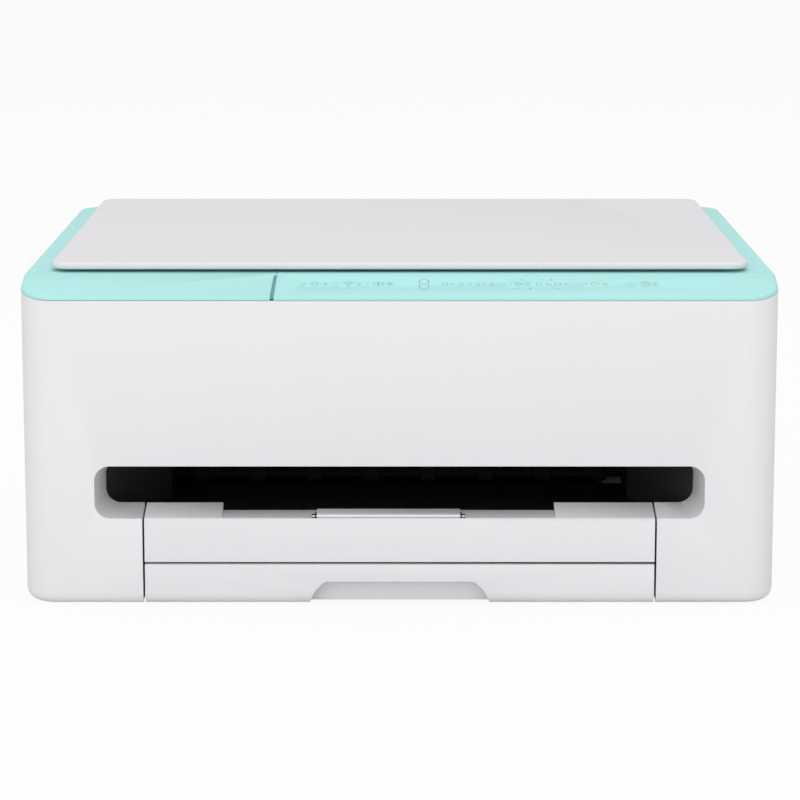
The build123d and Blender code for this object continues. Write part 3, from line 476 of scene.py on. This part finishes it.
on_key, on_panel = 0.075, 0.025
display_stroke = 0.7
fan = [arc(0, -1.1, radius, 45, 135, steps) for radius, steps in ((1.25, 8), (2.1, 10), (2.95, 12))]
four_dashes = [dash(first, first + 0.9, v) for first in (-3.6, 2.7) for v in (0.9, -0.9)]
bars = [dash(-1.4, 1.4, v) for v in (4.0, 0.0, -4.0)]
posts = [upright(u, v, v + 3.0) for v in (0.5, -3.5) for u in (-1.8, 1.8)]
symbols = (
    ("power_mark", -41.6, "key_power",
     [arc(0, 0, 1.35, 125, 415, 18), upright(0, 0.4, 1.9), dot(-4.3, 0.0), dot(4.3, 0.0)]),
    ("network_mark", -25.1, "key_network",
     [arc(0, -1.1, 0.35, 0, 360, 10), *fan, dash(-4.6, -3.4, -0.6), dot(4.2, -0.4)]),
    ("copies_mark", -9.5, "key_copies",
     [sheet_mark(-1.6, -0.2), sheet_mark(0.1, 0.3), dash(3.0, 4.6, 0.0), upright(3.8, -0.8, 0.8)]),
    ("digit_display", 12.0, "scanner", [*bars, *posts]),
    ("status_marks", 35.5, "scanner",
     [sheet_mark(-11.0, 0.0), dot(-8.0, 0.0), triangle(-4.4, -1.1, 1.1, 1.2), dot(-0.8, 0.0),
      drop_mark(2.4), dot(5.0, 0.0), drop_mark(8.2), dash(10.4, 12.2, -0.9)]),
    ("black_start_mark", 58.3, "key_black_start", [diamond(0, 0, 1.7), upright(0, -0.8, 0.8), *four_dashes]),
    ("paper_marks", 75.0, "scanner",
     [sheet_mark(-5.4, 0.0), sheet_mark(-1.4, 0.0, 0.75, 1.1), sheet_mark(2.2, 0.0, 1.25, 0.9),
      dot(5.6, 0.0)]),
    ("colour_start_mark", 96.0, "key_colour_start", [diamond(0, 0, 1.7), dot(-3.8, 0.0), dot(3.8, 0.0)]),
    ("second_row_marks", 64.0, "scanner",
     [dash(-8.0, -6.4, 3.4), dot(-3.0, 3.4), dash(4.5, 6.1, 3.4), dot(9.0, 3.4), dash(16.6, 18.2, 3.4),
      dash(-7.0, -4.2, -3.3), dot(0.0, -3.3), dash(10.0, 12.8, -3.3)]),
    ("stop_mark", 120.7, "key_stop",
     [arc(0, 0, 1.6), triangle(0.0, -0.5, 0.75, 0.7), dash(-4.6, -3.2, 0.0), dot(4.0, 0.0)]),
)
for name, x, body, strokes in symbols:
    printed(name, strokes, x, on_panel if body == "scanner" else on_key, body,
            display_stroke if name == "digit_display" else stroke_width)

# Metal parts of the engine. Zinc-plated sheet, ground shafts and drawn motor cans, with the
# fine lines that rolling and turning leave.


def rolled_metal_group():
    """Fine drawn lines: colour, roughness and relief, stretched along one axis."""
    group = surface_group("rolled_metal", (
        ("Colour", "Color", None), ("Along", "Vector", (30.0, 900.0, 900.0)), ("Roughness", "Float", 0.35)))
    add = group.nodes.new
    link = group.links.new
    given, result = add("NodeGroupInput"), add("NodeGroupOutput")
    place = add("ShaderNodeTexCoord")
    stretch = add("ShaderNodeVectorMath")
    stretch.operation = "MULTIPLY"
    link(place.outputs["Object"], stretch.inputs[0])
    link(given.outputs["Along"], stretch.inputs[1])
    lines = add("ShaderNodeTexNoise")
    lines.inputs["Scale"].default_value = 1.0
    lines.inputs["Detail"].default_value = 3.0
    link(stretch.outputs[0], lines.inputs["Vector"])
    bump = add("ShaderNodeBump")
    bump.inputs["Strength"].default_value = 0.2
    bump.inputs["Distance"].default_value = 0.00002
    link(lines.outputs["Fac"], bump.inputs["Height"])
    link(bump.outputs["Normal"], result.inputs["Relief"])
    spread = add("ShaderNodeMapRange")
    spread.inputs["To Min"].default_value = -0.12
    spread.inputs["To Max"].default_value = 0.12
    link(lines.outputs["Fac"], spread.inputs["Value"])
    total = add("ShaderNodeMath")
    link(spread.outputs["Result"], total.inputs[0])
    link(given.outputs["Roughness"], total.inputs[1])
    link(total.outputs[0], result.inputs["Sheen Break"])
    shade = add("ShaderNodeMapRange")
    shade.inputs["To Min"].default_value = 0.86
    shade.inputs["To Max"].default_value = 1.12
    link(lines.outputs["Fac"], shade.inputs["Value"])
    scale = add("ShaderNodeVectorMath")
    scale.operation = "SCALE"
    link(given.outputs["Colour"], scale.inputs[0])
    link(shade.outputs["Result"], scale.inputs["Scale"])
    link(scale.outputs[0], result.inputs["Tint"])
    return group


rolled_metal = rolled_metal_group()


def drawn_metal(name, colour, roughness, along=(30.0, 900.0, 900.0)):
    """Bare or plated metal with its drawn lines."""
    settings = {"Colour": (*colour, 1), "Along": along, "Roughness": roughness}
    paint, shader = surfaced(name, rolled_metal, settings)
    shader.inputs["Metallic"].default_value = 1.0
    return paint


plated_steel = drawn_metal("zinc_plated_steel", (0.62, 0.63, 0.65), 0.36)
dark_steel = drawn_metal("blackened_steel", (0.10, 0.10, 0.105), 0.45)
bright_steel = drawn_metal("bright_steel", (0.70, 0.70, 0.70), 0.25, (900.0, 900.0, 40.0))
softened("carriage_rail", "base", plated_steel, 0.0002)
softened("case_screws", "base", dark_steel, 0.0001)
softened("scan_rail", "scanner", plated_steel, 0.0002)
finish(["feed_motor"], plated_steel)
finish(["carriage_motor"], bright_steel)

# Paper path. Side plates and platen are black glass-filled plastic, the rollers are coated or
# rubber-tyred, and the gears are natural acetal.
frame_plastic = moulded_plastic("black_frame_plastic", (0.010, 0.010, 0.011), 0.65, 1200.0, 0.6, 0.15)
roller_rubber = moulded_plastic("roller_rubber", (0.014, 0.014, 0.015), 0.85, 700.0, 0.8, 0.1)
acetal = moulded_plastic("natural_acetal", (0.74, 0.73, 0.69), 0.4, 1800.0, 0.15, 0.03)
softened("engine_frame", "base", frame_plastic, 0.0003)
softened("platen", "base", frame_plastic, 0.0002)
softened("exit_roller", "exit_roller", roller_rubber, 0.0003)
softened("feed_roller", "feed_roller", roller_rubber, 0.0003)
softened("pinch_rollers", "pinch_rollers", roller_rubber, 0.0003)
softened("pickup_arm", "pickup_arm", frame_plastic, 0.0003)
pickup_rubber = moulded_plastic("pickup_rubber", (0.16, 0.16, 0.165), 0.8, 500.0, 0.9, 0.1)
softened("pickup_roller", "pickup_roller", pickup_rubber, 0.0004)
finish(["feed_gear", "idler_gear", "exit_gear", "feed_pinion", "guide_pinion"], acetal)
softened("motor_pulley", "motor_pulley", acetal, 0.0002)
softened("idler_pulley", "idler_pulley", acetal, 0.0002)

# Purge unit and absorber. A grey block with two rubber caps parks under the print head and
# seals it; spilt ink ends in a felt block at the rear.
purge_plastic = moulded_plastic("purge_plastic", (0.22, 0.225, 0.235), 0.5)


def on_caps(middle, normal):
    """The rubber caps on top of the purge unit."""
    return middle.z > 46.5


softened("purge_unit", "base", purge_plastic, 0.0004, zones=[(roller_rubber, on_caps)])
felt = moulded_plastic("absorber_felt", (0.80, 0.79, 0.76), 0.98, 350.0, 1.0, 0.3)
softened("ink_absorber", "base", felt, 0.0015)

# Boards. Green glass-fibre boards with solder mask, copper runs under it and tinned pads.
# The main board stands against the left wall, the panel's own board hangs under the keys.


def board_material(name):
    """Solder mask over copper runs, with rows of tinned pads."""
    paint = bpy.data.materials.new(name)
    paint.use_nodes = True
    tree = paint.node_tree
    add = tree.nodes.new
    shader = tree.nodes["Principled BSDF"]
    place = add("ShaderNodeTexCoord")
    runs = add("ShaderNodeTexVoronoi")
    runs.distance = "MANHATTAN"
    runs.feature = "F1"
    runs.inputs["Scale"].default_value = 160.0
    mask = add("ShaderNodeMapRange")
    mask.inputs["From Min"].default_value = 0.36
    mask.inputs["From Max"].default_value = 0.40
    pads = add("ShaderNodeTexVoronoi")
    pads.inputs["Scale"].default_value = 260.0
    pads.inputs["Randomness"].default_value = 0.25
    tin = add("ShaderNodeMapRange")
    tin.inputs["From Min"].default_value = 0.20
    tin.inputs["From Max"].default_value = 0.17
    for texture in (runs, pads):
        tree.links.new(place.outputs["Object"], texture.inputs["Vector"])
    tree.links.new(runs.outputs["Distance"], mask.inputs["Value"])
    tree.links.new(pads.outputs["Distance"], tin.inputs["Value"])
    copper = add("ShaderNodeMix")
    copper.data_type = "RGBA"
    copper.inputs["A"].default_value = (0.012, 0.090, 0.040, 1)
    copper.inputs["B"].default_value = (0.030, 0.170, 0.075, 1)
    tree.links.new(mask.outputs["Result"], copper.inputs["Factor"])
    tinned = add("ShaderNodeMix")
    tinned.data_type = "RGBA"
    tinned.inputs["B"].default_value = (0.60, 0.60, 0.58, 1)
    tree.links.new(copper.outputs["Result"], tinned.inputs["A"])
    tree.links.new(tin.outputs["Result"], tinned.inputs["Factor"])
    tree.links.new(tinned.outputs["Result"], shader.inputs["Base Color"])
    relief = add("ShaderNodeBump")
    relief.inputs["Strength"].default_value = 0.3
    relief.inputs["Distance"].default_value = 0.00004
    tree.links.new(mask.outputs["Result"], relief.inputs["Height"])
    tree.links.new(relief.outputs["Normal"], shader.inputs["Normal"])
    shader.inputs["Roughness"].default_value = 0.32
    return paint


board_paint = board_material("printed_board")
chip_epoxy = moulded_plastic("chip_epoxy", (0.016, 0.016, 0.018), 0.5, 2600.0, 0.3, 0.1)


def on_parts(middle, normal):
    """The parts that stand up from the main board."""
    return middle.x > -171.2


softened("main_board", "base", board_paint, 0.0001, zones=[(chip_epoxy, on_parts)])
softened("control_board", "scanner", board_paint, 0.0001)

# Sockets and power supply. The inlet is a black moulding with bright pins, the data socket a
# tinned shell, and the supply a black box whose rows of vent slots are painted shade on its top.
inlet_plastic = moulded_plastic("inlet_plastic", (0.018, 0.018, 0.019), 0.45, 1800.0, 0.3, 0.1)
inlet_x, data_x, socket_z = -150.0, 150.0, 45.0


def on_pin(middle, normal):
    """Faces of the two contact pins inside the inlet."""
    beside = 2.7 < abs(middle.x - inlet_x) < 5.3
    return 141.8 < middle.y < 154.0 and abs(middle.z - socket_z) < 1.3 and beside


def inside_shell(middle, normal):
    """The tongue that carries the contacts of the data socket."""
    return abs(middle.x - data_x) < 3.1 and abs(middle.z - socket_z) < 1.6 and middle.y > 145.0


softened("ac_inlet", "base", inlet_plastic, 0.0003, zones=[(bright_steel, on_pin)])
softened("usb_port", "base", bright_steel, 0.0002, zones=[(pad_sheet, inside_shell)])
softened("power_supply", "base", inlet_plastic, 0.0008)

# Carriage. A black moulding that carries two cartridges under hinged lock levers, pulled along
# by a toothed belt, and reading its place from a film strip.
softened("carriage_body", "carriage", frame_plastic, 0.0004)
cartridge_plastic = moulded_plastic("cartridge_plastic", (0.030, 0.031, 0.034), 0.42, 2000.0, 0.3, 0.08)
lever_plastic = moulded_plastic("lever_plastic", (0.30, 0.31, 0.33), 0.42, 2200.0, 0.2, 0.05)
for ink in ("black", "colour"):
    softened(ink + "_cartridge", "carriage", cartridge_plastic, 0.0008)
    softened(ink + "_lock_lever", ink + "_lock_lever", lever_plastic, 0.0004)
belt_rubber = moulded_plastic("belt_rubber", (0.020, 0.020, 0.021), 0.7, 800.0, 0.6, 0.1)
softened("carriage_belt", "base", belt_rubber, 0.0002)


def film_material(name):
    """Clear film with a fine grating of dark lines, read by the carriage's sensor."""
    paint = bpy.data.materials.new(name)
    paint.use_nodes = True
    tree = paint.node_tree
    shader = tree.nodes["Principled BSDF"]
    place = tree.nodes.new("ShaderNodeTexCoord")
    grating = tree.nodes.new("ShaderNodeTexWave")
    grating.bands_direction = "X"
    grating.inputs["Scale"].default_value = 900.0
    shade = tree.nodes.new("ShaderNodeMapRange")
    shade.inputs["To Min"].default_value = 0.35
    shade.inputs["To Max"].default_value = 0.75
    tree.links.new(place.outputs["Object"], grating.inputs["Vector"])
    tree.links.new(grating.outputs["Fac"], shade.inputs["Value"])
    tree.links.new(shade.outputs["Result"], shader.inputs["Alpha"])
    shader.inputs["Base Color"].default_value = (0.30, 0.31, 0.33, 1)
    shader.inputs["Roughness"].default_value = 0.15
    return paint


finish(["encoder_strip"], film_material("encoder_film"))

# Glass and sensor. A sheet of clear glass rests on the tub's rim; the sensor bar rides on a
# rail beneath it, with a pale lens rod let into its top.


def glass_material(name):
    """Clear float glass with a slight unevenness in its polish."""
    paint = bpy.data.materials.new(name)
    paint.use_nodes = True
    tree = paint.node_tree
    shader = tree.nodes["Principled BSDF"]
    shader.inputs["Base Color"].default_value = (0.93, 0.97, 0.96, 1)
    shader.inputs["Transmission Weight"].default_value = 1.0
    shader.inputs["IOR"].default_value = 1.45
    place = tree.nodes.new("ShaderNodeTexCoord")
    haze = tree.nodes.new("ShaderNodeTexNoise")
    haze.inputs["Scale"].default_value = 14.0
    haze.inputs["Detail"].default_value = 4.0
    polish = tree.nodes.new("ShaderNodeMapRange")
    polish.inputs["To Min"].default_value = 0.01
    polish.inputs["To Max"].default_value = 0.07
    tree.links.new(place.outputs["Object"], haze.inputs["Vector"])
    tree.links.new(haze.outputs["Fac"], polish.inputs["Value"])
    tree.links.new(polish.outputs["Result"], shader.inputs["Roughness"])
    return paint


finish(["platen_glass"], glass_material("float_glass"))
softened("sensor_bar", "sensor_bar", inlet_plastic, 0.0005)
lens_rod = moulded_plastic("lens_rod_plastic", (0.78, 0.80, 0.80), 0.2, 1500.0, 0.1, 0.05)
lens_steps = 8
lens_x, lens_z, lens_half, lens_rise = -144.0, 154.75, 1.6, 1.5
lens_arc = [math.pi * step / lens_steps for step in range(lens_steps + 1)]
lens_points = [(lens_x + lens_half * math.cos(angle), y, lens_z + lens_rise * math.sin(angle))
               for y in (-100.5, 116.5) for angle in lens_arc]
solid_from("sensor_lens", lens_points, prism_faces(lens_steps + 1), lens_rod, "sensor_bar")

# Small repeated parts. Screws hold the carriage rail and the deck, near-black sheets on the power supply
# paint the shade inside its vent slots, teeth line the belt, ribs stiffen the scanner's tub, chips fill the
# main board, and moulded lines give a grip on the rear cover and the cartridges.


def repeated(name, places, body, paint, size, kind="block", turn=(0.0, 0.0, 0.0), segments=12):
    """The same small part at every place: a block, or a screw or can with a crossed top."""
    points = bpy.data.meshes.new(name + "_places")
    points.from_pydata([Vector(place) * mm for place in places], [], [])
    carrier = bpy.data.objects.new(name + "_places", points)
    bpy.context.scene.collection.objects.link(carrier)
    tree = bpy.data.node_groups.new(name + "_layout", "GeometryNodeTree")
    tree.interface.new_socket("Places", in_out="INPUT", socket_type="NodeSocketGeometry")
    width_socket = tree.interface.new_socket("Part Size", in_out="INPUT", socket_type="NodeSocketVector")
    turn_socket = tree.interface.new_socket("Part Turn", in_out="INPUT", socket_type="NodeSocketVector")
    tree.interface.new_socket("Parts", in_out="OUTPUT", socket_type="NodeSocketGeometry")
    add = tree.nodes.new
    link = tree.links.new
    given, result = add("NodeGroupInput"), add("NodeGroupOutput")
    spread = add("GeometryNodeInstanceOnPoints")
    link(given.outputs["Places"], spread.inputs["Points"])
    link(given.outputs["Part Turn"], spread.inputs["Rotation"])
    link(given.outputs["Part Size"], spread.inputs["Scale"])
    if kind == "block":
        part = add("GeometryNodeMeshCube")
        link(part.outputs["Mesh"], spread.inputs["Instance"])
    else:
        part = add("GeometryNodeMeshCylinder")
        part.inputs["Vertices"].default_value = segments
        part.inputs["Radius"].default_value = 0.5
        part.inputs["Depth"].default_value = 1.0
        cross = add("GeometryNodeMeshBoolean")
        cross.operation = "DIFFERENCE"
        for index, across in enumerate(((0.62, 0.14, 0.5), (0.14, 0.62, 0.5))):
            bar = add("GeometryNodeMeshCube")
            bar.inputs["Size"].default_value = across
            lift = add("GeometryNodeTransform")
            lift.inputs["Translation"].default_value = (0.0, 0.0, 0.4)
            link(bar.outputs["Mesh"], lift.inputs["Geometry"])
            link(lift.outputs["Geometry"], cross.inputs["Mesh 2"])
        link(part.outputs["Mesh"], cross.inputs["Mesh 1"])
        link(cross.outputs["Mesh"], spread.inputs["Instance"])
    solid = add("GeometryNodeRealizeInstances")
    coat = add("GeometryNodeSetMaterial")
    coat.inputs["Material"].default_value = paint
    link(spread.outputs["Instances"], solid.inputs["Geometry"])
    link(solid.outputs["Geometry"], coat.inputs["Geometry"])
    link(coat.outputs["Geometry"], result.inputs["Parts"])
    layout = carrier.modifiers.new("layout", "NODES")
    layout.node_group = tree
    layout[width_socket.identifier] = [value * mm for value in size]
    layout[turn_socket.identifier] = turn
    depsgraph = bpy.context.evaluated_depsgraph_get()
    mesh = bpy.data.meshes.new_from_object(carrier.evaluated_get(depsgraph))
    bpy.data.objects.remove(carrier)
    mesh.name = name
    piece = bpy.data.objects.new(name, mesh)
    bpy.context.scene.collection.objects.link(piece)
    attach(piece, body)


grip_lines = [(0.0, 157.6, 92.0 + 1.8 * step) for step in range(5)]
repeated("rear_cover_grip", grip_lines, "rear_cover", case_plastic, (30.0, 0.7, 0.8))
screw_z = 129.6
screw_spots = [(x, y, screw_z) for x in (-172.0, 172.0) for y in (-110.0, -20.0, 90.0)]
screw_spots += [(x, 100.0, screw_z) for x in (-90.0, 90.0)]
repeated("deck_screws", screw_spots, "base", dark_steel, (6.0, 6.0, 1.4), "screw")
rail_spots = [(x, 62.0, 98.5) for x in (-120.0, -40.0, 40.0, 120.0)]
repeated("rail_screws", rail_spots, "base", bright_steel, (6.0, 6.0, 1.3), "screw")
slot_rows = [(x, 106.0 + 4.0 * step, 107.95) for x in (-158.5, -141.5) for step in range(11)]
# The vent slots are thin near-black sheets, painted shade in place of openings.
painted_vent_shade = moulded_plastic("painted_vent_shade", (0.004, 0.004, 0.004), 0.8, 1200.0, 0.3, 0.1)
repeated("supply_vent_shade", slot_rows, "base", painted_vent_shade, (13.0, 1.6, 0.3))
belt_runs, belt_z, belt_pitch = (48.15, 59.85), 102.5, 2.0
clamp_x, clamp_half = 138.0, 3.4
teeth = [(-134.0 + belt_pitch * step, y, belt_z) for y in belt_runs for step in range(146)]
teeth = [spot for spot in teeth if abs(spot[0] - clamp_x) > clamp_half]
repeated("belt_teeth", teeth, "base", belt_rubber, (0.9, 0.5, 4.6))
rib_z = 135.9
ribs_across = [(0.0, y, rib_z) for y in (-120.0, -80.0, -40.0, 0.0, 40.0, 80.0, 120.0)]
ribs_along = [(x, 0.0, rib_z) for x in (-150.0, -90.0, -30.0, 30.0, 90.0, 150.0)]
repeated("tub_ribs_across", ribs_across, "scanner", tub_plastic, (330.0, 1.6, 1.9))
repeated("tub_ribs_along", ribs_along, "scanner", tub_plastic, (1.6, 270.0, 1.9))
chip_spots = [(-170.9, y, z) for y in (-80.0, -68.0, 20.0, 50.0, 78.0) for z in (20.0, 30.0, 52.0, 88.0)]
repeated("board_chips", chip_spots, "base", chip_epoxy, (1.1, 5.2, 3.4))
can_spots = [(-168.4, y, z) for y in (-30.0, -18.0, 46.0) for z in (80.0, 90.0)]
repeated("board_capacitors", can_spots, "base", bright_steel, (6.6, 6.6, 6.2), "can",
         (0.0, math.pi / 2, 0.0), 20)
for ink, middle in (("black", 124.0), ("colour", 152.0)):
    grip_rows = [(middle, -22.0 + 2.4 * step, 99.7) for step in range(4)]
    repeated(ink + "_cartridge_grip", grip_rows, "carriage", cartridge_plastic, (16.0, 1.0, 0.8))

# Colour spots. Inlaid discs on the lock levers tell the cartridges apart: one dark spot for
# black, and three for the colours.
lever_top, spot_y, spot_radius, spot_steps = 104.0, 12.0, 2.0, 24
spots = (("spot_black", "black_lock_lever", 124.0, (0.02, 0.02, 0.02)),
         ("spot_cyan", "colour_lock_lever", 146.5, (0.0, 0.35, 0.62)),
         ("spot_magenta", "colour_lock_lever", 152.0, (0.60, 0.03, 0.22)),
         ("spot_yellow", "colour_lock_lever", 157.5, (0.80, 0.60, 0.03)))
for name, body, x, shade in spots:
    rim = [math.radians(360 / spot_steps * step) for step in range(spot_steps)]
    disc = [(x + spot_radius * math.cos(angle), spot_y + spot_radius * math.sin(angle), z)
            for z in (lever_top - 0.2, lever_top + 0.05) for angle in rim]
    solid_from(name, disc, prism_faces(spot_steps), moulded_plastic(name + "_ink", shade, 0.4), body)

# Corner mark. A raised arrow in dark green plastic, moulded onto the rim beside the glass,
# shows where the original's corner goes.
arrow = [(-165.5, -104.0), (-159.5, -104.0), (-159.5, -98.0)]
arrow_points = [(x, y, z) for z in (161.9, 162.12) for x, y in arrow]
arrow_ink = moulded_plastic("corner_mark_ink", (0.10, 0.24, 0.24), 0.5)
solid_from("corner_mark", arrow_points, prism_faces(len(arrow)), arrow_ink, "scanner")
